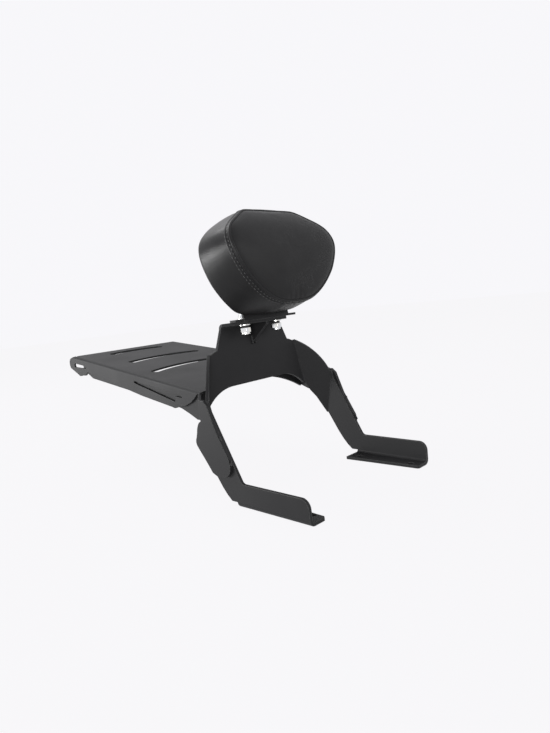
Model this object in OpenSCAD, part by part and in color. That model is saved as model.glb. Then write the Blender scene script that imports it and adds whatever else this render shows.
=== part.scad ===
// Motorcycle backrest with luggage rack. Millimetres, Z up, the bike's front is towards -Y.
// The origin is the centre of the four foot holes, on the underside of the foot flanges.

/* [Main bracket] */
// thickness of the main sheet
sheet_t = 4; // [3:0.5:6]
// inner radius of the bends
bend_r = 3; // [2:0.5:6]
// distance of the legs' outer faces from the middle plane
leg_x = 120; // [100:1:150]
// backward lean of the upright sheet, degrees
lean = 2; // [0:0.5:8]
// front face of the upright sheet at the reference height
arch_y = 128; // [110:1:145]
// reference height of the upright sheet
arch_z = 160; // [140:1:180]
// bend between the centre and the wings, degrees
wing_bend = 51; // [40:1:60]
// outward slant of that bend line, degrees
wing_slant = 11; // [0:1:18]
// distance of the wing bend's lower end from the legs' outer faces
wing_in = 28.5; // [20:0.5:40]
// depth of that point under the reference height
wing_drop = 50; // [40:1:60]
// length of the wing bend
wing_len = 66; // [50:1:80]
// radius of the wings' round outer edge
wing_round = 99; // [80:1:140]
// height of the wings' outer end
wing_end_z = 124; // [118:1:132]
// height at which the legs' rear edge meets the wings
wing_low_z = 60; // [50:1:75]
// depth of the arch opening's flat part under the reference height
arch_rise = 31; // [25:1:38]
// half width of that flat part
arch_flat = 46; // [35:1:60]
// half width at the foot of the upright
upright_low = 65.5; // [55:0.5:75]
// half width at the head of the upright
upright_high = 55; // [45:0.5:65]
// height of the shoulders over the reference height
shoulder_h = 18.5; // [10:0.5:25]
// height of the head over the reference height
head_h = 52; // [40:1:60]
// forward reach of the top flange
flange_reach = 36; // [30:1:44]
// half width of the flange's front edge
flange_half = 38; // [34:1:50]

/* [Feet] */
// height of the foot plates
foot_h = 30; // [24:1:40]
// front end of the feet
foot_front = 55.5; // [48:0.5:65]
// rear end of the foot flanges
foot_rear = 57; // [50:1:62]
// corner between foot and leg, behind the origin
foot_corner = 45.5; // [36:1:50]
// rounding of the feet's front upper corner
foot_round = 11; // [4:1:16]
// width of the foot flange at the front
foot_w_front = 25; // [22:1:32]
// width of the foot flange at the rear
foot_w_rear = 31; // [24:1:38]
// hole pitch along the feet
foot_pitch_y = 82; // [70:1:90]
// distance of the holes from the legs' outer faces
foot_in = 20.5; // [16:0.5:24]
// bore for an M8 bolt
foot_bore = 8.4; // [6.6:0.1:10.5]
// slope of the legs' front edge, degrees
leg_slope = 61.6; // [55:0.5:70]

/* [Rack] */
// thickness of the rack sheet
rack_t = 3; // [2:0.5:4]
// outer radius of the rack's long edges
rack_edge = 4.5; // [3:0.5:6]
// length of the rack
rack_len = 348; // [300:1:380]
// distance of the rack's front corners from the legs' outer faces
rack_in = 8; // [4:0.5:16]
// narrowing of the rack to its rear, on each side
rack_taper = 10.5; // [0:0.5:20]
// rise of the rack to the rear, degrees
rack_tilt = 7.1; // [0:0.1:10]
// front end of the rack's sides
rack_y = 114.4; // [108:0.1:120]
// top of the rack at that place
rack_z = 134.1; // [130:0.1:140]
// depth of the side flanges
skirt = 31; // [24:0.5:36]
// depth of the flanges at their shallow rear part
skirt_rear = 20.5; // [16:0.5:26]
// width of the cross slots
slot_w = 14; // [8:1:20]
// radius of the slots' curve
slot_r = 215; // [150:1:300]
// half length of the rear slot
slot_half = 45; // [36:1:60]
// growth of the half length from slot to slot
slot_step = 16; // [10:1:20]
// middle of the rear slot from the rack's front
slot_first = 323; // [300:1:330]
// pitch of the slots
slot_pitch = 81; // [70:1:90]

/* [Rails and web] */
// thickness of the rails and of the web
rail_t = 4; // [3:0.5:5]
// depth of the rails under the rack's top
rail_depth = 29; // [24:0.5:33]
// inward slope of the rails' step, degrees
rail_jog = 50; // [40:1:60]
// place of that step
rail_jog_y = 103; // [101:0.5:108]
// lowest point of the rails' tails
tail_low = 35; // [30:1:45]
// radius of the web's lower edge
web_r = 200; // [160:1:240]
// height of the web's lower edge in the middle
web_low = 130.5; // [124:0.5:131.5]
// front face of the web
web_y = 145; // [136:0.5:152]

/* [Pad] */
// backward lean of the pad, degrees
pad_lean = 12; // [6:0.5:18]
// height of the pad's middle over the foot of its bracket, along the upstand
pad_rise = 71; // [62:1:80]
// thickness of the pad
pad_d = 69; // [55:1:80]
// half width of the pad at its front seam
pad_half = 93.4; // [84:0.2:102]
// half width of the pad's back
pad_half_back = 91.6; // [84:0.5:104]
// height of the front seam over the pad's widest place
pad_up = 47; // [38:0.5:54]
// height of the back over the widest place
pad_up_back = 57; // [40:0.5:64]
// depth of the front seam under the widest place
pad_down = 75.5; // [66:0.5:84]
// depth of the back under the widest place
pad_down_back = 75; // [62:0.5:82]
// depth of the front seam at the pad's widest place
pad_crown = 6; // [3:0.5:12]
// how far the seam bows back at the pad's top
bow_up = 18; // [4:1:26]
// how far it bows back at the bottom
bow_down = 9.5; // [3:0.5:16]
// thickness of the cover
cover_t = 1.5; // [1:0.1:2.5]
// diameter of the cord in the front seam
cord_d = 4; // [3:0.1:6]
// thickness of the board inside the pad
board_t = 9; // [6:1:12]
// distance of the board's edge from the pad's side
board_inset = 14; // [10:1:24]

/* [Pad bracket and fasteners] */
// thickness of the pad bracket
plate_t = 3; // [2:0.5:5]
// half length of its foot
bar_half = 56; // [45:1:65]
// depth of its foot
bar_deep = 25; // [22:1:30]
// half width of its upstand
upstand_half = 41.5; // [32:0.5:50]
// height of its upstand
upstand_h = 92; // [70:1:110]
// distance of the flange bolts from the middle plane
bolt_x = 29; // [24:0.5:34]
// distance of the flange bolts from the upright sheet
bolt_out = 18; // [15:0.5:22]
// room between the flange bolts and the upstand
bolt_room = 14.4; // [12.5:0.1:18]
// shank diameter of the flange bolts
bolt_d = 8; // [6:1:10]
// shank length of the flange bolts
bolt_len = 22; // [20:1:40]
// height of the bushes over the lock nuts
bush_h = 3; // [1:0.5:6]
// distance of the board bolts from the middle plane
board_x = 24; // [18:1:30]
// height of the lower board bolts on the upstand
board_low = 28; // [22:1:36]
// pitch of the board bolts up the upstand
board_pitch = 46; // [30:1:56]
// shank diameter of the board bolts
board_d = 6; // [5:1:8]

/* [Hidden] */
steel = [0.16, 0.16, 0.17];
dark = [0.09, 0.09, 0.10];
zinc = [0.78, 0.79, 0.80];
cover = [0.07, 0.07, 0.08];
foam = [0.80, 0.74, 0.52];
wood = [0.62, 0.47, 0.30];
eps = 0.01;
clear = 0.3;
// barrel and rim of the captive nuts
tee_d = board_d + 2.2;
tee_rim = board_d + 11;

// places that follow from the width
wing_x = leg_x - wing_in;
foot_pitch_x = 2 * (leg_x - foot_in);
rack_front = leg_x - rack_in;
rack_rear = rack_front - rack_taper;

// vectors of the upright sheet and of its wings
v_up = [0, sin(lean), cos(lean)];
v_front = [0, -cos(lean), sin(lean)];
v_side = [cos(wing_slant), sin(wing_slant) * v_up.y, sin(wing_slant) * v_up.z];
v_fold = [-sin(wing_slant), cos(wing_slant) * v_up.y, cos(wing_slant) * v_up.z];
v_wing = cos(wing_bend) * v_side + sin(wing_bend) * v_front;
v_back = cross(v_fold, v_wing);
fold_0 = [wing_x, arch_y - wing_drop * v_up.y, arch_z - wing_drop * v_up.z];
// the legs' inner face, and the bend between wing and leg
leg_in = leg_x - sheet_t;
leg_bend = acos(v_back.x);
v_leg = [0, -v_back.z, v_back.y] / norm([v_back.y, v_back.z]);
v_rear = [0, v_back.y, v_back.z] / norm([v_back.y, v_back.z]);
// the bends are this much thinner than the panels on each side, and run into them by an angle
bend_in = 0.05;
bend_over = 5;
set_1 = bend_r * tan(wing_bend / 2);
set_2 = bend_r * tan(leg_bend / 2);
set_3 = bend_r;
// coordinates in the wing, u along the bend and v outwards, of a point on the leg bend at height z
function leg_u(z) = let (r = leg_in - fold_0.x, h = z - fold_0.z)
  (r * v_wing.z - h * v_wing.x) / (v_fold.x * v_wing.z - v_fold.z * v_wing.x);
function leg_v(z) = (leg_in - fold_0.x - leg_u(z) * v_fold.x) / v_wing.x;
function leg_y(z) = fold_0.y + leg_u(z) * v_fold.y + leg_v(z) * v_wing.y;
function arc(c, r, a, b, n) = [for (i = [0:n]) c + r * [cos(a + (b - a) * i / n), sin(a + (b - a) * i / n)]];
// an arc of radius r from p to q, bulging to the right of the way
function bow(p, q, r, n) = let (m = (p + q) / 2, d = q - p, l = norm(d),
  c = m + sqrt(r * r - l * l / 4) * [-d.y, d.x] / l, a = atan2(p.y - c.y, p.x - c.x),
  s = 2 * asin(l / 2 / r)) arc(c, r, a, a + s, n);
function turn(ps) = [for (i = [len(ps) - 1:-1:0]) ps[i]];
function flip(ps) = [for (i = [len(ps) - 1:-1:0]) [-ps[i].x, ps[i].y]];

module both() { children(); mirror([1, 0, 0]) children(); }
// the upright sheet: x across, y up the sheet, z to its front
module sheet_frame() { translate([0, arch_y, arch_z]) rotate([90 - lean, 0, 0]) children(); }
module fold_frame() { sheet_frame() translate([wing_x, -wing_drop, 0]) rotate([0, 0, wing_slant]) children(); }
// y and z of a side view, drawn from x0 outwards
module side(x0, t) { translate([x0, 0, 0]) rotate([90, 0, 90]) linear_extrude(t) children(); }

// 1. Main bracket
// a bend of the sheet round the z axis, from the x axis on
module bend(angle, long) {
  rotate([0, 0, -bend_over]) rotate_extrude(angle = angle + 2 * bend_over, $fn = 96)
    translate([bend_r + bend_in, bend_in]) square([sheet_t - 2 * bend_in, long - 2 * bend_in]);
}
module centre_2d() {
  c = cos(wing_slant); s = sin(wing_slant);
  low = [wing_x, -wing_drop] - set_1 * [c, s];
  high = low + wing_len * [-s, c];
  half = concat([[0, -arch_rise]], turn(bow(low, [arch_flat, -arch_rise], 58, 10)), [high,
    [upright_low + 5, shoulder_h - 1], [upright_low + 1, shoulder_h],
    [upright_low, shoulder_h + 1], [upright_high, head_h - set_3 - sheet_t], [0, head_h - set_3 - sheet_t]]);
  polygon(concat(half, flip(half)));
}
module wing_2d() {
  top = leg_u(wing_end_z); topv = leg_v(wing_end_z);
  bot = leg_u(wing_low_z); botv = leg_v(wing_low_z);
  d = [top - bot, topv - botv] / norm([top - bot, topv - botv]);
  in = set_2 * [d.y, -d.x];
  a = [top, topv] + in;
  b = [bot, botv] + in;
  pts = concat(bow([wing_len, set_1], a, wing_round, 16), [b, [-27, 12.2], [-14, 5.4], [0, set_1]]);
  polygon([for (p = pts) [p.y, p.x]]);
}
module leg_2d() {
  k = 1 / tan(leg_slope);
  t = set_2 / v_leg.z;
  top = [leg_y(wing_end_z) - t, wing_end_z];
  low = [leg_y(wing_low_z) - t, wing_low_z];
  polygon(concat([[foot_rear, bend_r + sheet_t], [foot_rear + 9.5, bend_r + sheet_t], [74, 13.5], [81, 21.5],
    [89.5, 33.5]], [low, top, [min(foot_corner + (wing_end_z - 12 - foot_h) * k, top.x - 1), wing_end_z - 12]],
    arc([foot_corner - 6 * k, foot_h + 6], 6, -28, -90, 4),
    arc([foot_round - foot_front, foot_h - foot_round], foot_round, 90, 180, 10),
    [[-foot_front, bend_r + sheet_t]]));
}
module foot_flange() {
  difference() {
    linear_extrude(sheet_t) polygon([[leg_in - bend_r, -foot_front], [leg_in - bend_r, foot_rear],
      [leg_x - foot_w_rear, foot_rear], [leg_x - foot_w_front, -foot_front + 2], [leg_x - foot_w_front + 2, -foot_front]]);
    for (s = [-1, 1]) translate([foot_pitch_x / 2, s * foot_pitch_y / 2, -1]) cylinder(h = sheet_t + 2, d = foot_bore, $fn = 48);
  }
  // bend between flange and foot
  translate([leg_in - bend_r, foot_rear, bend_r + sheet_t]) rotate([90, 0, 0]) rotate([0, 0, -90])
    bend(90, foot_rear + foot_front);
}
module wing_side() {
  // wing bend
  fold_frame() translate([-set_1, 0, bend_r]) rotate([-90, 0, 0]) rotate([0, 0, 90 - wing_bend])
    bend(wing_bend, wing_len);
  fold_frame() rotate([0, -wing_bend, 0]) translate([0, 0, -sheet_t]) linear_extrude(sheet_t) wing_2d();
  // bend between wing and leg
  q = fold_0 + leg_u(wing_low_z) * v_fold + leg_v(wing_low_z) * v_wing - [bend_r, 0, 0] - set_2 * v_rear;
  multmatrix([[1, 0, 0, q.x], [0, v_rear.y, v_leg.y, q.y], [0, v_rear.z, v_leg.z, q.z], [0, 0, 0, 1]])
    bend(leg_bend, (wing_end_z - wing_low_z) / v_leg.z);
  side(leg_in, sheet_t) leg_2d();
  foot_flange();
}
module flange_2d() {
  polygon([[-upright_high, 0], [upright_high, 0], [upright_high - 3, 6], [flange_half + 2, flange_reach - set_3 - sheet_t - 3],
    [flange_half - 2, flange_reach - set_3 - sheet_t], [2 - flange_half, flange_reach - set_3 - sheet_t],
    [-flange_half - 2, flange_reach - set_3 - sheet_t - 3], [3 - upright_high, 6]]);
}
module main_bracket() {
  color(steel) {
    difference() {
      union() {
        sheet_frame() {
          translate([0, 0, -sheet_t]) linear_extrude(sheet_t) centre_2d();
          // head bend and flange
          translate([-upright_high, head_h - set_3 - sheet_t, set_3]) rotate([0, 90, 0])
            bend(90, 2 * upright_high);
          translate([0, head_h, set_3]) rotate([90, 0, 0]) linear_extrude(sheet_t) flange_2d();
        }
        both() wing_side();
      }
      sheet_frame() for (s = [-1, 1]) translate([s * bolt_x, head_h + 1, bolt_out]) rotate([90, 0, 0])
        cylinder(h = sheet_t + 2, d = bolt_d + 0.4, $fn = 48);
    }
  }
}

// 2. Gusset under the flange
module flange_gusset() {
  color(steel) sheet_frame() translate([-rail_t / 2, 0, 0]) rotate([90, 0, 90]) linear_extrude(rail_t)
    polygon([[head_h - sheet_t - 26, 0], [head_h - sheet_t - bend_r, 0], [head_h - sheet_t, bend_r],
      [head_h - sheet_t, flange_reach - 5], [head_h - sheet_t - 3, flange_reach - 5]]);
}

// 3. Rails: plan view of the strip, cut by its side view
rail_in = 0.2;
function flange_x(y) = rack_front - rack_t - (y - rack_y) * (rack_front - rack_rear) / rack_len / cos(rack_tilt);
function rack_top(y) = rack_z + (y - rack_y) * tan(rack_tilt);
module rail_plan() {
  y1 = rail_jog_y + (leg_x - flange_x(120) + rail_t + rail_in) * tan(rail_jog);
  end = rack_y + (rack_len - 22) * cos(rack_tilt);
  x1 = flange_x(y1) - rail_in - rail_t;
  x2 = flange_x(end) - rail_in - rail_t;
  // inner line of the strip and the same line moved out by its thickness
  offset(r = -2, $fn = 32) offset(r = 2, $fn = 32) offset(r = 1.5, $fn = 32) offset(r = -1.5, $fn = 32)
    polygon([[leg_x, 90], [leg_x + rail_t, 90], [leg_x + rail_t, rail_jog_y + rail_t * tan(45 - rail_jog / 2)],
      [x1 + rail_t, y1 + rail_t * tan(45 - rail_jog / 2)], [x2 + rail_t, end], [x2, end], [x1, y1],
      [leg_x, rail_jog_y]]);
}
// the tail that lies on the leg
module tail_2d() {
  polygon(concat([[60, 58.5], [58.8, 50]], arc([72, 49], 13, 200, 262, 6), [[83.5, tail_low], [92, 38.5], [102.5, 52]],
    arc([109, 74], 9, -35, 35, 6), bow([114, 86], [rail_jog_y + 5, 99], 24, 4), [[rail_jog_y + 1, 101],
    [rail_jog_y + 1, 126], [96, 126], [89.5, 120.5], [84.5, 107], [78, 90]]));
}
module rail_side() {
  y_rear = rack_y + (rack_len - 18) * cos(rack_tilt);
  d_t = rack_t / cos(rack_tilt);
  d_b = rail_depth / cos(rack_tilt);
  polygon(concat([[rail_jog_y - 3, 101], [118, 97], [131, 97.5], [147, 104], [163, 109.5],
    [185, rack_top(185) - d_b]], [[y_rear - 34, rack_top(y_rear - 34) - d_b], [y_rear, rack_top(y_rear) - d_b + 12], [y_rear, rack_top(y_rear) - d_t],
     [rack_y + 2, rack_top(rack_y + 2) - d_t], [rail_jog_y - 3, 126]]));
}
module rail() {
  intersection() {
    linear_extrude(260) rail_plan();
    side(60, 90) rail_side();
  }
  side(leg_x, rail_t) tail_2d();
}
module left_rail() { color(steel) mirror([1, 0, 0]) rail(); }
module right_rail() { color(steel) rail(); }

// 4. Web behind the centre, between the rails
module arch_web() {
  half = flange_x(web_y) - rail_in - rail_t;
  top = rack_top(web_y) - rack_t / cos(rack_tilt);
  color(steel) translate([0, web_y + rail_t, 0]) rotate([90, 0, 0]) linear_extrude(rail_t) difference() {
    translate([-half, 60]) square([2 * half, top - 60]);
    translate([0, web_low - web_r]) circle(r = web_r, $fn = 240);
  }
}

// 5. Rack plate, drawn in its own slope: x across, y to the rear, z up from its top
module rack_frame() { translate([0, rack_y, rack_z]) rotate([rack_tilt, 0, 0]) children(); }
module rack_top_2d() {
  polygon([[-rack_front, 6], [-rack_front, 2], [-rack_front + 4, 0], [rack_front - 4, 0], [rack_front, 2], [rack_front, 6],
    [rack_rear, rack_len - 6], [rack_rear - 6, rack_len], [6 - rack_rear, rack_len], [-rack_rear, rack_len - 6]]);
}
module slot_2d(i) {
  half = slot_half + i * slot_step;
  mid = slot_first - i * slot_pitch;
  a = asin(half / slot_r);
  translate([0, mid - slot_r]) {
    polygon(concat(arc([0, 0], slot_r + slot_w / 2, 90 - a, 90 + a, 20), arc([0, 0], slot_r - slot_w / 2, 90 + a, 90 - a, 20)));
    for (s = [-1, 1]) rotate(s * a) translate([0, slot_r]) circle(d = slot_w, $fn = 32);
  }
}
module skirt_2d() {
  difference() {
    polygon(concat([[4, 0], [6, -3], [11, -9], [20, -17], [34, -24.5]], arc([58, -skirt + 12], 12.6, 235, 285, 6),
      [[138, -skirt + 1.5], [214, -25], [rack_len - 80, -skirt_rear - 2], [rack_len - 44, -skirt_rear]],
      [[rack_len - 36, -27]], arc([rack_len - 17, -19], 11.5, 235, 300, 5), arc([rack_len + 10, -14], 10, -50, 60, 7),
      [[rack_len + 1, 0]]));
    // long cut-out
    polygon(concat(arc([159, -12.6], 1.6, 80, 260, 6), arc([58, -18.8], 4.4, 250, 130, 8), arc([42, -14.4], 3, 190, 80, 4)));
    // small rear hole
    polygon(concat(arc([rack_len - 1, -15], 3.4, -70, 80, 6), arc([rack_len - 39, -13.2], 2.2, 90, 260, 5)));
  }
}
module rack_plate() {
  slope = atan((rack_front - rack_rear) / rack_len);
  color(steel) difference() {
    rack_frame() {
      translate([0, 0, -rack_t]) linear_extrude(rack_t) difference() {
        rack_top_2d();
        for (i = [0:2]) slot_2d(i);
      }
      both() {
        translate([rack_front, 0, 0]) rotate([0, 0, slope]) translate([-rack_t, 0, 0]) {
          rotate([90, 0, 90]) linear_extrude(rack_t) skirt_2d();
        }
      }
    }
    // the rounded edges between the top and the sides
    rack_frame() both() translate([rack_front, 0, 0]) rotate([0, 0, slope]) translate([0, rack_len + 5, 0]) rotate([90, 0, 0])
      linear_extrude(rack_len + 10) polygon(concat(arc([-rack_edge, -rack_edge], rack_edge, 0, 90, 6),
        [[-rack_edge, 3], [3, 3], [3, -rack_edge]]));
    // room for the upright sheet and its wings
    arch_room();
  }
}
module arch_room() {
  g = clear;
  sheet_frame() translate([4 - wing_x, -60, -sheet_t - g]) cube([2 * wing_x - 8, 120, 80]);
  both() fold_frame() rotate([0, -wing_bend, 0]) translate([-4, -80, -sheet_t - g]) cube([80, 170, 60]);
}

// 6. Pad bracket: foot on the flange, upstand behind the pad
// the upstand's front face stands on the foot at these places, and the pad lies on it
bar_z = head_h;
foot_front_z = bolt_out + bolt_room;
upstand_y = arch_y + (bar_z + plate_t) * v_up.y + foot_front_z * v_front.y;
upstand_z = arch_z + (bar_z + plate_t) * v_up.z + foot_front_z * v_front.z;
// x across, y to the pad's back, z up its face
module pad_frame() {
  translate([0, upstand_y, upstand_z]) rotate([-pad_lean, 0, 0]) translate([0, -clear - pad_d, pad_rise]) children();
}
module pad_bracket() {
  foot_y = foot_front_z - 0.4;
  color(steel) difference() {
    union() {
      sheet_frame() translate([0, bar_z + plate_t, 0]) rotate([90, 0, 0]) linear_extrude(plate_t)
        polygon([[-bar_half, foot_y], [-bar_half, foot_y - 8], [-bar_half + 12, foot_y - bar_deep],
          [bar_half - 12, foot_y - bar_deep], [bar_half, foot_y - 8], [bar_half, foot_y]]);
      intersection() {
        pad_frame() translate([-upstand_half, pad_d + clear, -pad_rise - 19])
          cube([2 * upstand_half, plate_t, 16 + upstand_h]);
        sheet_frame() translate([-60, bar_z + eps, -100]) cube([120, 140, 200]);
      }
    }
    sheet_frame() for (s = [-1, 1]) translate([s * bolt_x, bar_z + plate_t + 1, bolt_out]) rotate([90, 0, 0])
      cylinder(h = plate_t + 2, d = bolt_d + 0.4, $fn = 48);
    board_places() translate([0, 0, -5]) cylinder(h = 30, d = board_d + 0.4, $fn = 48);
  }
}
// the four board bolts, their axes run forward from the upstand's back face
module board_places() {
  for (s = [-1, 1], k = [0, 1]) pad_frame()
    translate([s * board_x, pad_d + clear + plate_t, board_low - pad_rise - plate_t + k * board_pitch]) rotate([90, 0, 0]) children();
}
// 7. Pad: outline in its face, x across and y up, a rounded shape whose corners get fuller with n
function round_x(a, t, n) = a * pow(cos(t), 2 / n);
function round_y(b, t, n) = b * pow(abs(sin(t)), 2 / n);
// k is 0 at the front seam and 1 at the back, g lets the outline grow
function pad_pts(g, k) = let (a = pad_half + k * (pad_half_back - pad_half) + g,
    up = pad_up + k * (pad_up_back - pad_up) + g, down = pad_down + k * (pad_down_back - pad_down) + g,
    nu = 2.2 - 0.2 * k, nd = 1.88 + 0.82 * k, mid = 3 + 2 * k,
    h = [for (i = [-12:11]) let (t = i * 90 / 12) i < 0 ? [round_x(a, t, nd), mid - round_y(down, t, nd)]
      : [round_x(a, t, nu), mid + round_y(up, t, nu)]])
  concat(h, [[0, mid + up]], [for (i = [len(h) - 1:-1:1]) [-h[i].x, h[i].y]]);
// depth of the front seam at height z, and the heights at which it has the depth d
function seam_d(z) = pad_crown + (z > 5 ? bow_up * pow((z - 5) / 45, 1.8) : z < -5 ? bow_down * pow((-5 - z) / 65, 1.6) : 0);
function seam_hi(d) = 5 + 45 * pow(max(d - pad_crown, 0) / bow_up, 1 / 1.8);
function seam_lo(d) = -5 - 65 * pow(max(d - pad_crown, 0) / bow_down, 1 / 1.6);
// one thin slice of the pad at depth d, between two heights
module slice(d, g, k, lo = -100, hi = 100) {
  translate([0, d, 0]) rotate([90, 0, 0]) linear_extrude(0.02) intersection() {
    polygon(pad_pts(g, k));
    translate([-150, lo]) square([300, hi - lo]);
  }
}
module pad_solid(g) {
  hull() {
    slice(-g, g - 30, 0, -36, 10);
    slice(2 - g, g - 14, 0, -52, 22);
    slice(7 - g, g - 12, 0, -62, 33);
    slice(13 - g, g - 6, 0, -90, 43);
    for (d = [0.02, 0.16, 0.4, 0.7, 1]) slice(pad_crown + d * bow_up - g, g, 0, seam_lo(pad_crown + d * bow_up), seam_hi(pad_crown + d * bow_up));
    slice(pad_d - 12, g, 0.9);
    slice(pad_d - 5, g - 1.5, 1);
    slice(pad_d + g, g - 6, 1);
  }
}
// the space between the depths seam_d + a and seam_d + b, or far back
module seam_zone(a, b, far = false) {
  zs = [for (z = [-90:5:65]) z];
  rotate([90, 0, 90]) translate([0, 0, -150]) linear_extrude(300)
    polygon(concat([for (z = zs) [seam_d(z) + a, z]], far ? [[b, 65], [b, -90]] : [for (i = [len(zs) - 1:-1:0]) [seam_d(zs[i]) + b, zs[i]]]));
}
module board_room(g) {
  translate([0, pad_d - cover_t - clear + g, 0]) rotate([90, 0, 0]) linear_extrude(board_t + 2 * g)
    polygon(pad_pts(g - board_inset, 1));
}
module pad_board() {
  color(wood) difference() {
    pad_frame() board_room(0);
    board_places() cylinder(h = 40, d = tee_d + 0.2, $fn = 48);
  }
}
module pad_foam() {
  color(foam) difference() {
    pad_frame() pad_solid(-cover_t - 0.2);
    pad_frame() board_room(clear);
    board_places() cylinder(h = 30, d = tee_rim + 3, $fn = 48);
  }
}
module shell() { difference() { pad_solid(0); pad_solid(-cover_t); } }
module front_panel() {
  color(cover) pad_frame() intersection() {
    shell();
    seam_zone(0, -40, true);
  }
}
module side_band() {
  color(cover) pad_frame() intersection() {
    shell();
    seam_zone(clear, pad_d - 3, true);
  }
}
module back_panel() {
  color(cover) difference() {
    pad_frame() intersection() {
      shell();
      translate([-150, pad_d - 3 + clear, -150]) cube([300, 20, 300]);
    }
    board_places() translate([0, 0, -1]) cylinder(h = 20, d = 2 * board_d + 2, $fn = 48);
  }
}
module seam_cord() {
  color(cover) pad_frame() difference() {
    intersection() {
      seam_zone(-cord_d / 2, cord_d / 2);
      translate([0, 60, 0]) rotate([90, 0, 0]) linear_extrude(80) difference() {
        polygon(pad_pts(cord_d / 2 - 1.1, 0));
        polygon(pad_pts(-4, 0));
      }
    }
    pad_solid(0.05);
  }
}

// 8. Fasteners
module hex(h, w) { cylinder(h = h, d = w / cos(30), $fn = 6); }
module bolt(d, l) {
  cylinder(h = l, d = d, $fn = 48);
  translate([0, 0, -0.64 * d]) intersection() {
    hex(0.64 * d, 1.625 * d);
    cylinder(h = 0.64 * d, d1 = 1.5 * d, d2 = 2.4 * d, $fn = 64);
  }
}
// axes run down through the flange from the top of the bracket's foot
module flange_places() {
  sheet_frame() for (s = [-1, 1]) translate([s * bolt_x, bar_z + plate_t, bolt_out]) rotate([90, 0, 0]) children();
}
washer_t = 1.6;
stack = plate_t + sheet_t;
module ring(h, d, b) { difference() { cylinder(h = h, d = d, $fn = 64); translate([0, 0, -1]) cylinder(h = h + 2, d = b, $fn = 48); } }
module flange_bolts() { color(zinc) flange_places() translate([0, 0, -washer_t]) bolt(bolt_d, bolt_len); }
module flange_washers() {
  color(zinc) flange_places() {
    translate([0, 0, -washer_t]) ring(washer_t, 2 * bolt_d, bolt_d + 0.4);
    translate([0, 0, stack]) ring(washer_t, 2 * bolt_d, bolt_d + 0.4);
  }
}
module nut_bushes() { color(dark) flange_places() translate([0, 0, stack + washer_t]) ring(bush_h, 1.4 * bolt_d, bolt_d + 0.2); }
module lock_nuts() {
  color(zinc) flange_places() translate([0, 0, stack + washer_t + bush_h]) difference() {
    union() {
      intersection() { hex(6, 1.625 * bolt_d); cylinder(h = 6, d1 = 1.85 * bolt_d + 3, d2 = 1.85 * bolt_d, $fn = 64); }
      cylinder(h = 8.2, d = 1.45 * bolt_d, $fn = 64);
    }
    translate([0, 0, -1]) cylinder(h = 12, d = bolt_d + 0.04, $fn = 48);
    translate([0, 0, 5.6]) cylinder(h = 2, d = bolt_d + 2.4, $fn = 48);
  }
}
module nylon_rings() {
  color([0.25, 0.35, 0.75]) flange_places() translate([0, 0, stack + washer_t + bush_h + 5.65]) ring(1.9, bolt_d + 2.3, bolt_d + 0.1);
}
module board_bolts() { color(zinc) board_places() translate([0, 0, -washer_t]) bolt(board_d, washer_t + plate_t + clear + cover_t + board_t + 3); }
module board_washers() { color(zinc) board_places() translate([0, 0, -washer_t]) ring(washer_t, 2 * board_d, board_d + 0.4); }
module tee_nuts() {
  back = plate_t + 2 * clear + cover_t;
  color(zinc) board_places() translate([0, 0, back + 2]) {
    ring(board_t - 2, tee_d, board_d + 0.04);
    translate([0, 0, board_t - 2]) ring(1.2, tee_rim, board_d + 0.04);
  }
}

// 9. Weld beads
module bead(p, q, d) {
  l = norm(q - p);
  translate(p) multmatrix(look((q - p) / l)) cylinder(h = l, d = d, $fn = 16);
}
function look(w) = let (a = abs(w.z) > 0.9 ? [1, 0, 0] : [0, 0, 1], u = cross(a, w) / norm(cross(a, w)), v = cross(w, u))
  [[u.x, v.x, w.x, 0], [u.y, v.y, w.y, 0], [u.z, v.z, w.z, 0], [0, 0, 0, 1]];
module rack_welds() {
  color(steel) for (x = [-72, -36, 0, 36, 72]) {
    y = arch_y + sheet_t + 1.0;
    bead([x - 8, y + 1.6, rack_top(y) + 1.2], [x + 8, y + 1.6, rack_top(y) + 1.2], 2.4);
  }
}
module leg_welds() {
  color(steel) both() {
    bead([leg_x + 1.4, 59, 57.5], [leg_x + 1.4, 58, 52], 2.6);
    bead([leg_x + 1.4, 71.5, 79.5], [leg_x + 1.4, 74, 84], 2.6);
  }
}
module gusset_welds() {
  color(steel) sheet_frame() for (s = [-1, 1]) bead([s * (rail_t / 2 + 1), head_h - sheet_t - 27, 1], [s * (rail_t / 2 + 1), head_h - sheet_t - 17, 1], 2.4);
}

main_bracket();
flange_gusset();
arch_web();
left_rail();
right_rail();
rack_plate();
pad_bracket();
pad_board();
pad_foam();
front_panel();
side_band();
back_panel();
seam_cord();
flange_bolts();
flange_washers();
nut_bushes();
lock_nuts();
nylon_rings();
board_bolts();
board_washers();
tee_nuts();
rack_welds();
leg_welds();
gusset_welds();
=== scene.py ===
# %% [markdown]
# # A motorcycle backrest with its luggage rack
# The real object is a folded steel bracket with a flat slotted rack behind it and a small upholstered
# pad bolted on top. The steel was drawn as solids beforehand. This script loads them, makes the pad,
# the stitching and the weld beads, and gives every piece its finish.

# %% Load the solids
import math
import random
import bmesh
import bpy
from mathutils import Matrix, Vector


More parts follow.
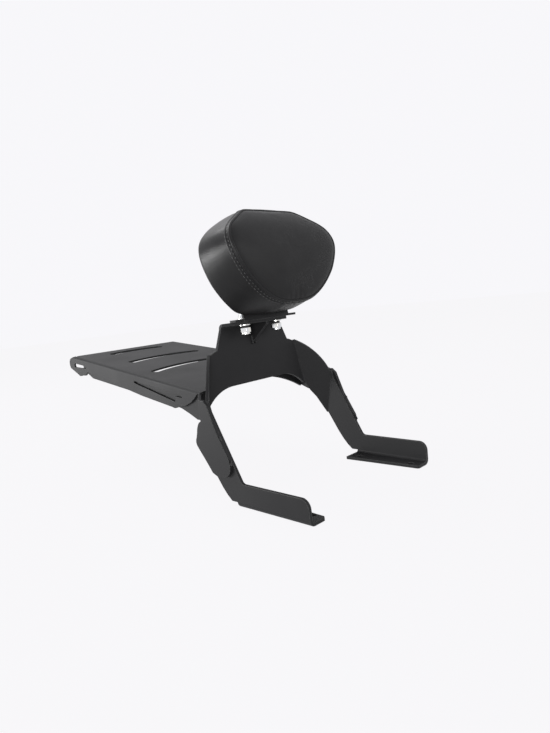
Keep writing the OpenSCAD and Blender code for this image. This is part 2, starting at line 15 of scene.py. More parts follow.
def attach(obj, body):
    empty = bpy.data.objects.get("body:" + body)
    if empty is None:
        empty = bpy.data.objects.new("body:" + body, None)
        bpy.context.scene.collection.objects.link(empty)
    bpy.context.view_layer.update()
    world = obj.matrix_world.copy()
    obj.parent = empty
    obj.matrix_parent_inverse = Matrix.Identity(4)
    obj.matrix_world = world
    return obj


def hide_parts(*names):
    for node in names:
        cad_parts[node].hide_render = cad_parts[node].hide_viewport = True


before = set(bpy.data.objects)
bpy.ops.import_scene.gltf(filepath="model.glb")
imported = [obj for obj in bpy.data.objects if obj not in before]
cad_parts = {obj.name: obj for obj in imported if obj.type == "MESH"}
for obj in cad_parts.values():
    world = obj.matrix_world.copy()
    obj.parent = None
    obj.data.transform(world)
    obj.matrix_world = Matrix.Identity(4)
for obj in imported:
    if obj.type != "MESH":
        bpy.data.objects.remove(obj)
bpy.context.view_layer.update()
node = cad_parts
MM = 0.001
scene = bpy.context.scene
print("solids:", len(node))

# %% [markdown]
# ## The camera
# The view was found by lining up the corners of the folded steel with the picture, so the camera is
# written as a place, three directions and a focal length. A matrix states them without rounding, which
# a pair of track-to angles would not.

# %% Camera
turn, tilt, roll = math.radians(-44.766), math.radians(6.878), math.radians(-6.01)
back = Vector((math.sin(turn) * math.cos(tilt), -math.cos(turn) * math.cos(tilt), math.sin(tilt)))
right = Vector((math.cos(turn), math.sin(turn), 0))
up = back.cross(right)
right, up = right * math.cos(roll) + up * math.sin(roll), up * math.cos(roll) - right * math.sin(roll)
lens = bpy.data.cameras.new("photo_lens")
lens.sensor_fit, lens.sensor_width, lens.lens = "HORIZONTAL", 36, 560 / 550 * 36
camera = bpy.data.objects.new("photo_camera", lens)
place = Matrix((right, up, back)).transposed().to_4x4()
place.translation = Vector((-522.49, -434.06, 237.68)) * MM
camera.matrix_world = place
lens.clip_start = 0.01
scene.collection.objects.link(camera)
scene.camera = camera
print("focal length", round(lens.lens, 2))

# %% [markdown]
# ## The studio
# Black paint and leather show mostly what they mirror. One long soft lamp behind the left side gives the
# bright bands on the pad's side, and the white room, seen at a low angle, makes the rack's top lighter
# than its sides. The background is white for the camera and for mirrored rays, but lights like a grey room.

# %% World and floor
scene.view_settings.view_transform = "Standard"
world = bpy.data.worlds.new("pale_room")
scene.world = world
world.use_nodes = True
wt = world.node_tree
wt.nodes.clear()


def node_in(tree, kind, **values):
    made = tree.nodes.new(kind)
    for key, value in values.items():
        setattr(made, key, value)
    return made


def wire(tree, a, b):
    tree.links.new(a, b)


def background_rays(tree):
    """1 for the rays that show the background: from the camera, off glossy surfaces and through clear ones."""
    path = node_in(tree, "ShaderNodeLightPath")
    mirrored = node_in(tree, "ShaderNodeMath", operation="MAXIMUM")
    wire(tree, path.outputs["Is Glossy Ray"], mirrored.inputs[0])
    wire(tree, path.outputs["Is Transmission Ray"], mirrored.inputs[1])
    seen = node_in(tree, "ShaderNodeMath", operation="MAXIMUM")
    wire(tree, path.outputs["Is Camera Ray"], seen.inputs[0])
    wire(tree, mirrored.outputs[0], seen.inputs[1])
    return seen.outputs[0]


room = node_in(wt, "ShaderNodeBackground")
white = node_in(wt, "ShaderNodeBackground")
mix = node_in(wt, "ShaderNodeMixShader")
out = node_in(wt, "ShaderNodeOutputWorld")
room.inputs["Color"].default_value = (1, 0.995, 0.985, 1)
room.inputs["Strength"].default_value = 0.34
white.inputs["Color"].default_value = (0.935, 0.93, 0.955, 1)
white.inputs["Strength"].default_value = 1.0
wire(wt, background_rays(wt), mix.inputs[0])
wire(wt, room.outputs[0], mix.inputs[1])
wire(wt, white.outputs[0], mix.inputs[2])
wire(wt, mix.outputs[0], out.inputs[0])


def lamp(name, where, target, size, power, colour=(1, 1, 1)):
    data = bpy.data.lights.new(name, "AREA")
    data.shape, data.size, data.size_y = "RECTANGLE", size[0], size[1]
    data.energy, data.color = power, colour
    made = bpy.data.objects.new(name, data)
    made.location = where
    made.rotation_euler = (Vector(target) - Vector(where)).to_track_quat("-Z", "Y").to_euler()
    made.visible_camera = False
    scene.collection.objects.link(made)
    return made


lamp("side_strip", (-1.6, 1.8, 0.22), (0, 0.1, 0.28), (1.1, 0.34), 32)
lamp("top_box", (-0.3, 1.1, 1.9), (0, 0.2, 0.2), (1.6, 1.2), 24)
lamp("camera_fill", (-1.75, -1.4, 0.36), (0, 0.1, 0.2), (0.7, 0.5), 25)
lamp("front_fill", (0.9, -1.9, 1.0), (0, 0, 0.15), (0.9, 0.9), 6)

bm = bmesh.new()
bmesh.ops.create_grid(bm, x_segments=2, y_segments=2, size=6)
floor_mesh = bpy.data.meshes.new("studio_floor")
bmesh.ops.translate(bm, verts=bm.verts, vec=(0, 0, -0.0005))
bm.to_mesh(floor_mesh)
bm.free()
floor = bpy.data.objects.new("studio_floor", floor_mesh)
scene.collection.objects.link(floor)
paper = bpy.data.materials.new("studio_paper")
paper.use_nodes = True
pt = paper.node_tree
pt.nodes.clear()
p_cloth = node_in(pt, "ShaderNodeBsdfDiffuse")
p_glow = node_in(pt, "ShaderNodeEmission")
p_share = node_in(pt, "ShaderNodeMath", operation="MULTIPLY")
p_mix = node_in(pt, "ShaderNodeMixShader")
p_out = node_in(pt, "ShaderNodeOutputMaterial")
p_cloth.inputs["Color"].default_value = (0.3, 0.3, 0.31, 1)
p_glow.inputs["Color"].default_value = (0.988, 0.981, 1, 1)
p_share.inputs[1].default_value = 0.93
wire(pt, background_rays(pt), p_share.inputs[0])
wire(pt, p_share.outputs[0], p_mix.inputs[0])
wire(pt, p_cloth.outputs[0], p_mix.inputs[1])
wire(pt, p_glow.outputs[0], p_mix.inputs[2])
wire(pt, p_mix.outputs[0], p_out.inputs[0])
floor_mesh.materials.append(paper)
print("floor and", len(bpy.data.lights), "lamps")

# %% [markdown]
# ## Shared effects
# Three finishes need a fine uneven surface: the orange-peel of powder coat, the grain of leather and the
# faint brushing of zinc. One node group gives a height and a mask from noise in object space, so it is
# built once and placed in each material with its own scale.

# %% Grain group
grain = bpy.data.node_groups.new("fine_grain", "ShaderNodeTree")
face = grain.interface
for name, value in (("Scale", 900.0), ("Detail", 2.0), ("Patch Scale", 18.0)):
    s = face.new_socket(name=name, in_out="INPUT", socket_type="NodeSocketFloat")
    s.default_value = value
for name in ("Height", "Patch"):
    face.new_socket(name=name, in_out="OUTPUT", socket_type="NodeSocketFloat")
g_in = node_in(grain, "NodeGroupInput")
g_out = node_in(grain, "NodeGroupOutput")
g_co = node_in(grain, "ShaderNodeTexCoord")
g_fine = node_in(grain, "ShaderNodeTexNoise")
g_patch = node_in(grain, "ShaderNodeTexNoise")
g_patch.inputs["Detail"].default_value = 3
for tex, key in ((g_fine, "Scale"), (g_patch, "Patch Scale")):
    wire(grain, g_co.outputs["Object"], tex.inputs["Vector"])
    wire(grain, g_in.outputs[key], tex.inputs["Scale"])
wire(grain, g_in.outputs["Detail"], g_fine.inputs["Detail"])
wire(grain, g_fine.outputs["Fac"], g_out.inputs["Height"])
wire(grain, g_patch.outputs["Fac"], g_out.inputs["Patch"])


def new_finish(name, colour, roughness, metallic=0.0, shine=0.5):
    mat = bpy.data.materials.new(name)
    mat.use_nodes = True
    tree = mat.node_tree
    shader = tree.nodes["Principled BSDF"]
    shader.inputs["Base Color"].default_value = (*colour, 1)
    shader.inputs["Roughness"].default_value = roughness
    shader.inputs["Metallic"].default_value = metallic
    shader.inputs["Specular IOR Level"].default_value = shine
    return mat, tree, shader


def add_grain(tree, scale, patch, detail=2.0):
    g = node_in(tree, "ShaderNodeGroup", node_tree=grain)
    g.inputs["Scale"].default_value = scale
    g.inputs["Patch Scale"].default_value = patch
    g.inputs["Detail"].default_value = detail
    return g


def spread(tree, source, low, high):
    made = node_in(tree, "ShaderNodeMapRange")
    made.inputs["From Min"].default_value, made.inputs["From Max"].default_value = 0.3, 0.7
    made.inputs["To Min"].default_value, made.inputs["To Max"].default_value = low, high
    wire(tree, source, made.inputs["Value"])
    return made.outputs["Result"]


def tint(tree, source, dark, light):
    ramp = node_in(tree, "ShaderNodeValToRGB")
    ramp.color_ramp.elements[0].position, ramp.color_ramp.elements[0].color = 0.35, (*dark, 1)
    ramp.color_ramp.elements[1].position, ramp.color_ramp.elements[1].color = 0.65, (*light, 1)
    wire(tree, source, ramp.inputs["Fac"])
    return ramp.outputs["Color"]


def emboss(tree, shader, height, strength, distance, under=None):
    bump = node_in(tree, "ShaderNodeBump")
    bump.inputs["Strength"].default_value = strength
    bump.inputs["Distance"].default_value = distance
    wire(tree, height, bump.inputs["Height"])
    if under:
        wire(tree, under, bump.inputs["Normal"])
    wire(tree, bump.outputs["Normal"], shader.inputs["Normal"])


print("group sockets:", [s.name for s in face.items_tree])

# %% [markdown]
# ## Powder coat
# The steel is black with a satin coat that is slightly uneven like orange peel. It could be one flat
# colour, but then the broad plates look like card. A fine bump, a slow change of roughness and softly
# rounded edges from the Bevel node make sheet metal of them. Where that node turns the normal, a lighter
# grey is painted into the colour: a painted highlight along the edges.

# %% Powder-coated steel
coat, t, s = new_finish("black_powder_coat", (0.02, 0.02, 0.021), 0.55, shine=0.2)
g = add_grain(t, 950, 14)
wire(t, spread(t, g.outputs["Patch"], 0.5, 0.6), s.inputs["Roughness"])
round_edge = node_in(t, "ShaderNodeBevel", samples=6)
round_edge.inputs["Radius"].default_value = 0.0012
flat = node_in(t, "ShaderNodeNewGeometry")
turned = node_in(t, "ShaderNodeVectorMath", operation="DOT_PRODUCT")
wire(t, round_edge.outputs["Normal"], turned.inputs[0])
wire(t, flat.outputs["Normal"], turned.inputs[1])
# painted highlight: a mask that is 1 where the Bevel node turns the normal at an edge
edge = node_in(t, "ShaderNodeMapRange")
edge.inputs["From Min"].default_value, edge.inputs["From Max"].default_value = 0.99, 0.8
wire(t, turned.outputs["Value"], edge.inputs["Value"])
# the coat's colour, with a light grey (0.1) painted in along the edges as a painted highlight
coat_with_edge_highlight = node_in(t, "ShaderNodeMix", data_type="RGBA")
coat_with_edge_highlight.inputs[7].default_value = (0.1, 0.1, 0.1, 1)
wire(t, edge.outputs["Result"], coat_with_edge_highlight.inputs[0])
wire(t, tint(t, g.outputs["Patch"], (0.013, 0.013, 0.014), (0.02, 0.02, 0.021)), coat_with_edge_highlight.inputs[6])
wire(t, coat_with_edge_highlight.outputs[2], s.inputs["Base Color"])
emboss(t, s, g.outputs["Height"], 0.25, 0.00012, round_edge.outputs["Normal"])
steel_nodes = ("main_bracket", "flange_gusset", "arch_web", "left_rail", "right_rail", "rack_plate", "pad_bracket")
for name in steel_nodes:
    node[name].data.materials.clear()
    node[name].data.materials.append(coat)
print("coated:", ", ".join(steel_nodes))

# %% [markdown]
# ## Zinc, nylon, rubber and wood
# The fasteners are bright zinc with a faint blue-yellow cloud, the lock rings are pale nylon, and the
# board hidden in the pad is plywood. They are small, so each gets one clear trait at its own scale.

# %% Small finishes
zinc, t, s = new_finish("bright_zinc", (0.72, 0.73, 0.74), 0.24, 1.0)
g = add_grain(t, 1400, 120)
wire(t, tint(t, g.outputs["Patch"], (0.66, 0.68, 0.71), (0.78, 0.77, 0.72)), s.inputs["Base Color"])
wire(t, spread(t, g.outputs["Height"], 0.18, 0.32), s.inputs["Roughness"])
z_edge = node_in(t, "ShaderNodeBevel", samples=4)
z_edge.inputs["Radius"].default_value = 0.0004
wire(t, z_edge.outputs["Normal"], s.inputs["Normal"])

nylon, t, s = new_finish("pale_nylon", (0.82, 0.83, 0.86), 0.45)
g = add_grain(t, 700, 90)
wire(t, spread(t, g.outputs["Height"], 0.4, 0.55), s.inputs["Roughness"])
s.inputs["Subsurface Weight"].default_value = 0.15

rubber, t, s = new_finish("black_rubber", (0.02, 0.02, 0.02), 0.7)
g = add_grain(t, 1200, 60)
emboss(t, s, g.outputs["Height"], 0.3, 0.0001)

ply, t, s = new_finish("plywood", (0.55, 0.4, 0.24), 0.6)
co = node_in(t, "ShaderNodeTexCoord")
rings = node_in(t, "ShaderNodeTexWave", wave_type="BANDS", bands_direction="Z")
rings.inputs["Scale"].default_value = 90
rings.inputs["Distortion"].default_value = 5
wire(t, co.outputs["Object"], rings.inputs["Vector"])
wire(t, tint(t, rings.outputs["Fac"], (0.46, 0.32, 0.18), (0.62, 0.46, 0.29)), s.inputs["Base Color"])

for names, mat in ((("flange_bolts", "flange_washers", "lock_nuts", "board_bolts", "board_washers", "tee_nuts"), zinc),
                   (("nylon_rings",), nylon), (("nut_bushes",), rubber), (("pad_board",), ply)):
    for name in names:
        node[name].data.materials.clear()
        node[name].data.materials.append(mat)
print("finishes:", len(bpy.data.materials))

# %% [markdown]
# ## Leather
# The cover is smooth black leather: small cells with fine creases between them, a satin sheen and
# slightly duller patches. Voronoi cells give the creases, the grain group the patches.

# %% Leather
leather, t, s = new_finish("black_leather", (0.018, 0.018, 0.019), 0.36, shine=0.2)
g = add_grain(t, 600, 22)
co = node_in(t, "ShaderNodeTexCoord")
cells = node_in(t, "ShaderNodeTexVoronoi", feature="DISTANCE_TO_EDGE")
cells.inputs["Scale"].default_value = 620
wire(t, co.outputs["Object"], cells.inputs["Vector"])
crease = node_in(t, "ShaderNodeMapRange")
crease.inputs["From Max"].default_value = 0.12
wire(t, cells.outputs["Distance"], crease.inputs["Value"])
both = node_in(t, "ShaderNodeMath", operation="MULTIPLY_ADD")
both.inputs[1].default_value = 0.6
wire(t, g.outputs["Height"], both.inputs[0])
wire(t, crease.outputs["Result"], both.inputs[2])
bend_noise = node_in(t, "ShaderNodeTexNoise")
bend_noise.inputs["Scale"].default_value = 45
bend_noise.inputs["Detail"].default_value = 3
wire(t, co.outputs["Object"], bend_noise.inputs["Vector"])
shift = node_in(t, "ShaderNodeMix", data_type="VECTOR")
shift.inputs["Factor"].default_value = 0.035
wire(t, co.outputs["Object"], shift.inputs[4])
wire(t, bend_noise.outputs["Color"], shift.inputs[5])
folds = node_in(t, "ShaderNodeTexVoronoi", feature="DISTANCE_TO_EDGE")
folds.inputs["Scale"].default_value = 150
wire(t, shift.outputs[1], folds.inputs["Vector"])
line = node_in(t, "ShaderNodeMapRange")
line.inputs["From Max"].default_value = 0.06
wire(t, folds.outputs["Distance"], line.inputs["Value"])
line_mask = node_in(t, "ShaderNodeMapRange")
line_mask.inputs["From Min"].default_value, line_mask.inputs["From Max"].default_value = 0.47, 0.6
wire(t, g.outputs["Patch"], line_mask.inputs["Value"])
faded = node_in(t, "ShaderNodeMix", data_type="FLOAT")
faded.inputs[2].default_value = 1.0
axes = node_in(t, "ShaderNodeSeparateXYZ")
wire(t, co.outputs["Object"], axes.inputs[0])
right_side = node_in(t, "ShaderNodeMapRange")
right_side.inputs["From Min"].default_value, right_side.inputs["From Max"].default_value = -0.03, 0.04
wire(t, axes.outputs["X"], right_side.inputs["Value"])
there = node_in(t, "ShaderNodeMath", operation="MULTIPLY")
wire(t, line_mask.outputs["Result"], there.inputs[0])
wire(t, right_side.outputs["Result"], there.inputs[1])
wire(t, there.outputs[0], faded.inputs["Factor"])
wire(t, line.outputs["Result"], faded.inputs[3])
coarse = node_in(t, "ShaderNodeBump")
coarse.inputs["Strength"].default_value = 0.7
coarse.inputs["Distance"].default_value = 0.0006
wire(t, faded.outputs[0], coarse.inputs["Height"])
wire(t, tint(t, g.outputs["Patch"], (0.006, 0.006, 0.0065), (0.012, 0.012, 0.0125)), s.inputs["Base Color"])
wire(t, spread(t, g.outputs["Patch"], 0.3, 0.42), s.inputs["Roughness"])
emboss(t, s, both.outputs[0], 0.3, 0.00012, coarse.outputs["Normal"])
thread, t, s = new_finish("waxed_thread", (0.05, 0.05, 0.05), 0.4)
g = add_grain(t, 2500, 200)
emboss(t, s, g.outputs["Height"], 0.5, 0.0001)
foam_mat, t, s = new_finish("open_foam", (0.72, 0.66, 0.45), 0.9)
g = add_grain(t, 500, 40, 4)
wire(t, tint(t, g.outputs["Height"], (0.6, 0.54, 0.34), (0.8, 0.74, 0.53)), s.inputs["Base Color"])
emboss(t, s, g.outputs["Height"], 0.8, 0.0006)
for name in ("pad_foam",):
    node[name].data.materials.clear()
    node[name].data.materials.append(foam_mat)
print("leather cells per metre:", cells.inputs["Scale"].default_value)

# %% [markdown]
# ## The pad's shape
# The pad is a block of foam in three sewn pieces of leather: a crowned front, a band round the side and
# a back. It could be sculpted by hand, but rings of points that run from the seam to the middle of the
# front, and from the seam to the back, follow both outlines exactly and leave clean quads for the
# simulation. The front's outline is a rounded shield with a flat top, and the seam bows back from its
# foremost place at the sides, because the front is crowned.

# %% Pad outlines
LEAN = math.radians(12)
PAD_AT = Vector((0, 44.515, 299.954)) * MM
deep_axis = Vector((0, math.cos(LEAN), -math.sin(LEAN)))
high_axis = Vector((0, math.sin(LEAN), math.cos(LEAN)))
HALF = 84
DEPTH = 69.0
CROWN = 4.3
# right half of each outline, from the bottom's middle to the top's middle: across and up, in millimetres
front_marks = [(0, -66.5), (15, -66), (28, -63.5), (38, -60), (47, -55), (56, -48.5), (65.5, -40), (74.5, -30),
               (80.5, -20.5), (85.5, -10.5), (88.5, -1), (89.6, 7), (88.5, 15.5), (84, 25.5), (75.5, 33.5),
               (63, 41.5), (53, 48), (45, 52.3), (35, 54), (0, 54)]
back_marks = [(0, -68.5), (30, -68), (47, -66.3), (57, -62.5), (65.5, -54), (74.7, -41.8), (83.6, -25), (88.8, -7),
              (90.7, 7), (89.8, 17.5), (86, 27), (78, 36), (64.6, 45.8), (43, 56.3), (22, 62), (0, 63.5)]


def smooth_half(marks):
    """Equal steps along a smooth line through the marks, mirrored to a closed ring."""
    marks = [(-marks[1][0], marks[1][1])] + marks + [(-marks[-2][0], marks[-2][1])]
    line = []
    for p0, p1, p2, p3 in zip(marks, marks[1:], marks[2:], marks[3:]):
        for i in range(40):
            t = i / 40
            line.append(tuple(0.5 * (2 * b_ + (c - a_) * t + (2 * a_ - 5 * b_ + 4 * c - d_) * t * t
                                     + (3 * b_ - a_ - 3 * c + d_) * t ** 3) for a_, b_, c, d_ in zip(p0, p1, p2, p3)))
    line.append(marks[-2])
    runs = [0.0]
    for p_, q_ in zip(line, line[1:]):
        runs.append(runs[-1] + math.dist(p_, q_))
    half, j = [], 0
    for i in range(HALF + 1):
        goal = runs[-1] * i / HALF
        while j < len(runs) - 2 and runs[j + 1] < goal:
            j += 1
        share = (goal - runs[j]) / max(runs[j + 1] - runs[j], 1e-9)
        half.append(tuple(u + (v - u) * share for u, v in zip(line[j], line[j + 1])))
    return half + [(-x, h) for x, h in half[-2:0:-1]]


front_ring, back_ring = smooth_half(front_marks), smooth_half(back_marks)
RING = len(front_ring)


def outline(place, k):
    """Across and up of a place on the ring, 0 to RING, at k = 0, the front seam, to k = 1, the back."""
    i, part = int(place) % RING, place - int(place)
    x0, h0 = (u + (v - u) * part for u, v in zip(front_ring[i], front_ring[(i + 1) % RING]))
    x1, h1 = (u + (v - u) * part for u, v in zip(back_ring[i], back_ring[(i + 1) % RING]))
    return 1.02 * (x0 + (x1 - x0) * k), h0 + (h1 - h0) * k


def seam_depth(h):
    return 2.3 + 0.012 * max(h, 0) ** 1.85 + 0.0135 * max(-h, 0) ** 1.55


def at(x, d, h):
    return PAD_AT + Vector((x * MM, 0, 0)) + deep_axis * (d * MM) + high_axis * (h * MM)


def seam_at(i, inset=0.0, sink=0.0):
    x, h = outline(i, 0)
    r = math.hypot(x, h) or 1
    return at(x - inset * x / r, seam_depth(h) + sink, h - inset * h / r)


def gather(i):
    """The cover is drawn together under the pad's middle: small folds that die out to both sides."""
    away = min(i, RING - i)
    return math.exp(-(away / 4) ** 2) * (1.1 - 0.9 * math.cos(2.1 * i))


def band_at(i, k):
    x, h = outline(i, k)
    r = math.hypot(x, h) or 1
    d0 = seam_depth(outline(i, 0)[1])
    belly = 1.6 * math.sin(math.pi * min(1, k * 1.1)) ** 0.8 + 0.4 - 1.6 * max(0, 1 - k / 0.03)
    belly += 1.9 * math.exp(-((k - 0.09) / 0.014) ** 2)
    belly -= gather(i) * math.exp(-k / 0.15) + 4.5 * max(0, (k - 0.9) / 0.1) ** 2.4
    d = d0 + (DEPTH - 1.0 - d0) * k
    return at(x + belly * x / r, d, h + belly * h / r)


print("pad is", round(2 * max(x for x, _ in front_ring), 1), "wide and", RING, "points round")

# %% Build the rings
pad_bm = bmesh.new()
panel = pad_bm.faces.layers.int.new("panel")
deform = pad_bm.verts.layers.deform.new()


def first_ring():
    made = bmesh.ops.create_circle(pad_bm, cap_ends=False, segments=RING, radius=0.1)["verts"]
    return sorted(made, key=lambda v: math.atan2(v.co.y, v.co.x) % (2 * math.pi))


def ring_edges(ring):
    members = set(ring)
    return list({e for v in ring for e in v.link_edges if e.other_vert(v) in members})


def next_ring(ring, tag):
    grown = bmesh.ops.extrude_edge_only(pad_bm, edges=ring_edges(ring))["geom"]
    fresh = {v for v in grown if isinstance(v, bmesh.types.BMVert)}
    for f in (f for f in grown if isinstance(f, bmesh.types.BMFace)):
        f[panel] = tag
    return [next(e.other_vert(v) for e in v.link_edges if e.other_vert(v) in fresh) for v in ring]


def shape_ring(ring, how):
    for i, v in enumerate(ring):
        v.co = how(i)


def close_ring(ring, tag):
    lid = bmesh.ops.contextual_create(pad_bm, geom=ring + ring_edges(ring))["faces"]
    for f in bmesh.ops.poke(pad_bm, faces=lid)["faces"]:
        f[panel] = tag


seam_ring = first_ring()
shape_ring(seam_ring, lambda i: seam_at(i, 1.2, 0.2))

# front: from the seam to the middle
ring = seam_ring
for share in (0.988, 0.972, 0.952, 0.925, 0.89, 0.85, 0.8, 0.74, 0.67, 0.59, 0.5, 0.4, 0.3, 0.2, 0.1, 0.04):
    ring = next_ring(ring, 0)

    def crown(i, k=share):
        x, h = outline(i, 0)
        fall = 0.1 * k ** 2 + 0.35 * k ** 8 + 0.55 * k ** 26
        fold = 0.9 * gather(i) * math.exp(-(1 - k) / 0.05)
        high = 3 + (h - 3) * k
        return at(x * k, seam_depth(high) - CROWN * (1 - fall) + fold, high)

    shape_ring(ring, crown)
close_ring(ring, 0)

# side: from the seam to the rounded rear edge
ring = seam_ring
for share in (0.015, 0.035, 0.055, 0.072, 0.09, 0.108, 0.125, 0.15, 0.2, 0.26, 0.33, 0.41, 0.52, 0.63, 0.73, 0.82, 0.89, 0.93, 0.965, 1.0):
    ring = next_ring(ring, 1)
    shape_ring(ring, lambda i, k=share: band_at(i, k))
back_edge = ring

# back: from that edge to the middle
for share in (0.945, 0.93, 0.9, 0.85, 0.7, 0.5, 0.3, 0.1):
    ring = next_ring(ring, 2)
    shape_ring(ring, lambda i, k=share: at(outline(i, 1)[0] * k, DEPTH - 0.4 - 0.5 * k ** 12, 3 + (outline(i, 1)[1] - 3) * k))
close_ring(ring, 2)
bmesh.ops.recalc_face_normals(pad_bm, faces=pad_bm.faces)
for v in pad_bm.verts:
    tags = {f[panel] for f in v.link_faces}
    if 2 in tags or len(tags) > 1:
        v[deform][0] = 1.0
pad_mesh = bpy.data.meshes.new("pad_form")
pad_bm.to_mesh(pad_mesh)
pad_bm.free()
pad_form = bpy.data.objects.new("pad_form", pad_mesh)
scene.collection.objects.link(pad_form)
pad_form.vertex_groups.new(name="sewn")
print("pad points:", len(pad_mesh.vertices))

# %% [markdown]
# ## Let the foam press into the cover
# Real leather is pulled tight over the foam and swells a little between its seams. Cloth simulation
# with some pressure does the same: the seams are pinned, and the rest may move by up to three
# millimetres. The result is copied into the mesh, so that no simulation stays on the piece.

# %% Cloth
def swell(obj, frames=16, most_mm=3.0):
    rest = [v.co.copy() for v in obj.data.vertices]
    cloth = obj.modifiers.new("press", "CLOTH")
    cs = cloth.settings
    cs.quality = 6
    cs.mass = 0.3
    cs.tension_stiffness = cs.compression_stiffness = 25
    cs.bending_stiffness = 4
    cs.use_pressure = True
    cs.uniform_pressure_force = 3
    cs.vertex_group_mass = "sewn"
    cs.effector_weights.gravity = 0
    cloth.collision_settings.use_collision = False
    scene.frame_start, scene.frame_end = 1, frames
    cloth.point_cache.frame_start, cloth.point_cache.frame_end = 1, frames
    for f in range(1, frames + 1):
        scene.frame_set(f)
    shown = obj.evaluated_get(bpy.context.evaluated_depsgraph_get())
    moved = [v.co.copy() for v in shown.data.vertices]
    obj.modifiers.remove(cloth)
    far = 0
    for v, start, end in zip(obj.data.vertices, rest, moved):
        step = end - start
        if step.length > most_mm * MM:
            step = step.normalized() * most_mm * MM
        far = max(far, step.length)
        v.co = start + step
    scene.frame_set(1)
    return far


print("cover moved by up to", round(swell(pad_form) * 1000, 2), "mm")

# %% [markdown]
# ## Cut the cover into its panels
# The form carries a number on each face for the panel it belongs to. Copies of it with the other
# panels deleted become the front, the band and the back, each a skin of leather of its own thickness.
# The foam is one more copy, drawn inwards and hollowed for the board with a boolean.

# %% Panels and foam
SKIN = 1.5


def add_piece(name, mesh, mat, slot_name, *nodes):
    obj = bpy.data.objects.new(name, mesh)
    scene.collection.objects.link(obj)
    mesh.materials.clear()
    mesh.materials.append(mat)
    for poly in mesh.polygons:
        poly.use_smooth = True
    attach(obj, "root")
    if nodes:
        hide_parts(*nodes)
    return obj


def cut_panel(name, tag, *nodes):
    bm = bmesh.new()
    bm.from_mesh(pad_form.data)
    layer = bm.faces.layers.int["panel"]
    bmesh.ops.delete(bm, geom=[f for f in bm.faces if f[layer] != tag], context="FACES")
    mesh = bpy.data.meshes.new(name)
    bm.to_mesh(mesh)
    bm.free()
    obj = add_piece(name, mesh, leather, "cover", *nodes)
    sub = obj.modifiers.new("smooth", "SUBSURF")
    sub.levels = sub.render_levels = 1
    skin = obj.modifiers.new("skin", "SOLIDIFY")
    skin.thickness, skin.offset = SKIN * MM, -1
    return obj


cover_front = cut_panel("cover_front", 0, "front_panel")
cover_band = cut_panel("cover_band", 1, "side_band")
cover_back = cut_panel("cover_back", 2, "back_panel")

bm = bmesh.new()
bm.from_mesh(pad_form.data)
bmesh.ops.triangulate(bm, faces=bm.faces)
inner = {v: v.co - v.normal * (SKIN + 0.5) * MM for v in bm.verts}
for v, co in inner.items():
    v.co = co
bmesh.ops.smooth_vert(bm, verts=bm.verts, factor=0.5, use_axis_x=True, use_axis_y=True, use_axis_z=True)
foam_mesh = bpy.data.meshes.new("foam_core")
bm.to_mesh(foam_mesh)
bm.free()
foam_core = add_piece("foam_core", foam_mesh, foam_mat, "foam", "pad_foam")
hollow = foam_core.modifiers.new("board_room", "BOOLEAN")
hollow.operation, hollow.solver, hollow.object = "DIFFERENCE", "EXACT", node["pad_board"]
foam_mesh = bpy.data.meshes.new_from_object(foam_core.evaluated_get(bpy.context.evaluated_depsgraph_get()))
foam_core.modifiers.remove(hollow)
foam_core.data = foam_mesh
bpy.data.objects.remove(pad_form)
print("faces:", [len(o.data.polygons) for o in (cover_front, cover_band, cover_back, foam_core)])

# %% [markdown]
# ## The welt
# A thin leather cord is sewn into the seam between the front and the band. A closed curve through the
# seam with a round bevel makes it, and is turned into a mesh so that it can be exported.

# %% Welt
def tube(name, points, radius, steps=5):
    data = bpy.data.curves.new(name, "CURVE")
    data.dimensions = "3D"
    line = data.splines.new("POLY")
    line.points.add(len(points) - 1)
    for p_, q_ in zip(line.points, points):
        p_.co = (*q_, 1)
    line.use_cyclic_u = True
    data.bevel_depth, data.bevel_resolution = radius, steps
    curve = bpy.data.objects.new(name + "_curve", data)
    scene.collection.objects.link(curve)
    mesh = bpy.data.meshes.new_from_object(curve)
    bpy.data.objects.remove(curve)
    mesh.name = name
    return mesh


add_piece("welt", tube("welt", [seam_at(i, 0.3, 0.3) for i in range(RING)], 1.8 * MM), leather, "cover", "seam_cord")
print("welt length:", round(sum((seam_at(i) - seam_at(i + 1)).length for i in range(RING)), 3), "m")

# %% [markdown]
# ## Stitches
# One row of stitches runs round the band beside the welt and one round the front's rim. Each stitch is
# a small rounded rod laid in the direction of the row and pressed halfway into the leather. One short
# rod is placed again and again, so the whole row is one mesh.

# %% Stitches
def stitch_row(name, place, pitch, long, thick):
    steps = RING * 8
    fine = [place(i / 8) for i in range(steps)]
    run, marks = 0.0, []
    for i in range(steps):
        step = (fine[(i + 1) % steps] - fine[i])
        run += step.length
        if run >= pitch:
            run -= pitch
            marks.append((fine[i], step.normalized()))
    bm = bmesh.new()
    for where, along in marks:
        made = bmesh.ops.create_icosphere(bm, subdivisions=1, radius=1)["verts"]
        bmesh.ops.scale(bm, verts=made, vec=(long / 2, thick / 2, thick / 2))
        turn_to = Vector((1, 0, 0)).rotation_difference(along).to_matrix()
        bmesh.ops.rotate(bm, verts=made, cent=(0, 0, 0), matrix=turn_to)
        bmesh.ops.translate(bm, verts=made, vec=where)
    mesh = bpy.data.meshes.new(name)
    bm.to_mesh(mesh)
    bm.free()
    print(name, len(marks), "stitches")
    return add_piece(name, mesh, thread, "cover")


stitch_row("band_stitches", lambda i: band_at(i, 0.06), 5.2 * MM, 3.2 * MM, 1.4 * MM)
stitch_row("outer_stitches", lambda i: band_at(i, 0.12), 5.2 * MM, 3.2 * MM, 1.4 * MM)
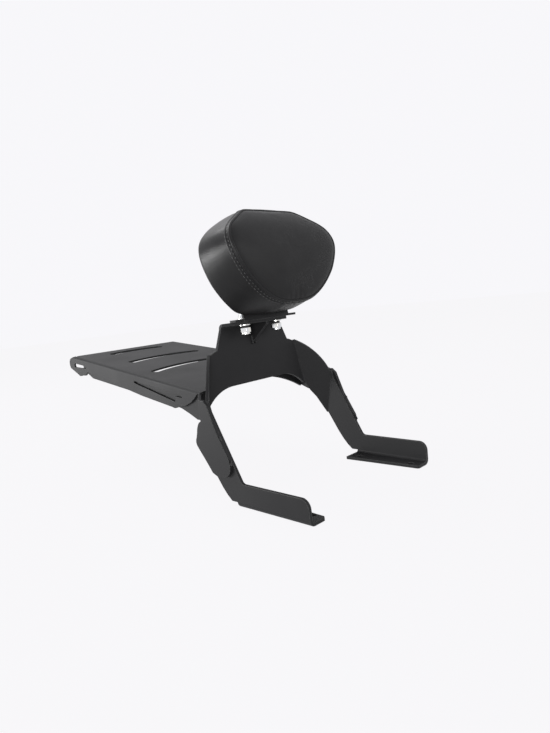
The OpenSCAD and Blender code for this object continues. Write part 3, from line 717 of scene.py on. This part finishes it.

# %% [markdown]
# ## Weld beads
# Short beads join the sheets. A hand-laid bead is a row of overlapping ripples, so each one is a chain
# of squashed, overlapping balls along the joint.

# %% Weld beads
def bead(bm, start, end, wide, seed):
    dice = random.Random(seed)
    start, end = Vector(start) * MM, Vector(end) * MM
    count = max(4, int((end - start).length / (0.45 * wide * MM)))
    along = (end - start).normalized()
    turn_to = Vector((1, 0, 0)).rotation_difference(along).to_matrix()
    for i in range(count + 1):
        at_ = start.lerp(end, i / count)
        made = bmesh.ops.create_icosphere(bm, subdivisions=2, radius=wide * MM / 2 * dice.uniform(0.92, 1.08))["verts"]
        bmesh.ops.scale(bm, verts=made, vec=(0.7, 1.0, 1.0))
        bmesh.ops.rotate(bm, verts=made, cent=(0, 0, 0), matrix=turn_to)
        bmesh.ops.translate(bm, verts=made, vec=at_)


def weld_piece(name, runs, replaced):
    bm = bmesh.new()
    for i, (a, b, w) in enumerate(runs):
        bead(bm, a, b, w, i)
    for f in bm.faces:
        f.smooth = True
    mesh = bpy.data.meshes.new(name)
    bm.to_mesh(mesh)
    bm.free()
    obj = bpy.data.objects.new(name, mesh)
    scene.collection.objects.link(obj)
    mesh.materials.append(coat)
    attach(obj, "root")
    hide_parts(replaced)
    return obj


def along_box(name, wide):
    """One run down the longest side of each separate bead of a solid node."""
    mesh = node[name].data
    bm = bmesh.new()
    bm.from_mesh(mesh)
    bmesh.ops.remove_doubles(bm, verts=bm.verts, dist=1e-6)
    left, runs = set(bm.verts), []
    while left:
        group, todo = [], [left.pop()]
        while todo:
            v = todo.pop()
            group.append(v)
            for e in v.link_edges:
                o = e.other_vert(v)
                if o in left:
                    left.remove(o)
                    todo.append(o)
        mid = sum((v.co for v in group), Vector()) / len(group)
        far = max(group, key=lambda v: (v.co - mid).length).co
        other = max(group, key=lambda v: (v.co - far).length).co
        axis = (other - far)
        ends = [v.co for v in group if (v.co - far).length < 0.3 * axis.length]
        heads = [v.co for v in group if (v.co - other).length < 0.3 * axis.length]
        a = sum(ends, Vector()) / len(ends)
        b = sum(heads, Vector()) / len(heads)
        runs.append((a / MM, b / MM, wide))
    bm.free()
    return runs


for name, wide in (("rack_welds", 2.6), ("leg_welds", 2.8), ("gusset_welds", 4.0)):
    runs = along_box(name, wide)
    weld_piece(name + "_laid", runs, name)
    print(name, len(runs), "beads")
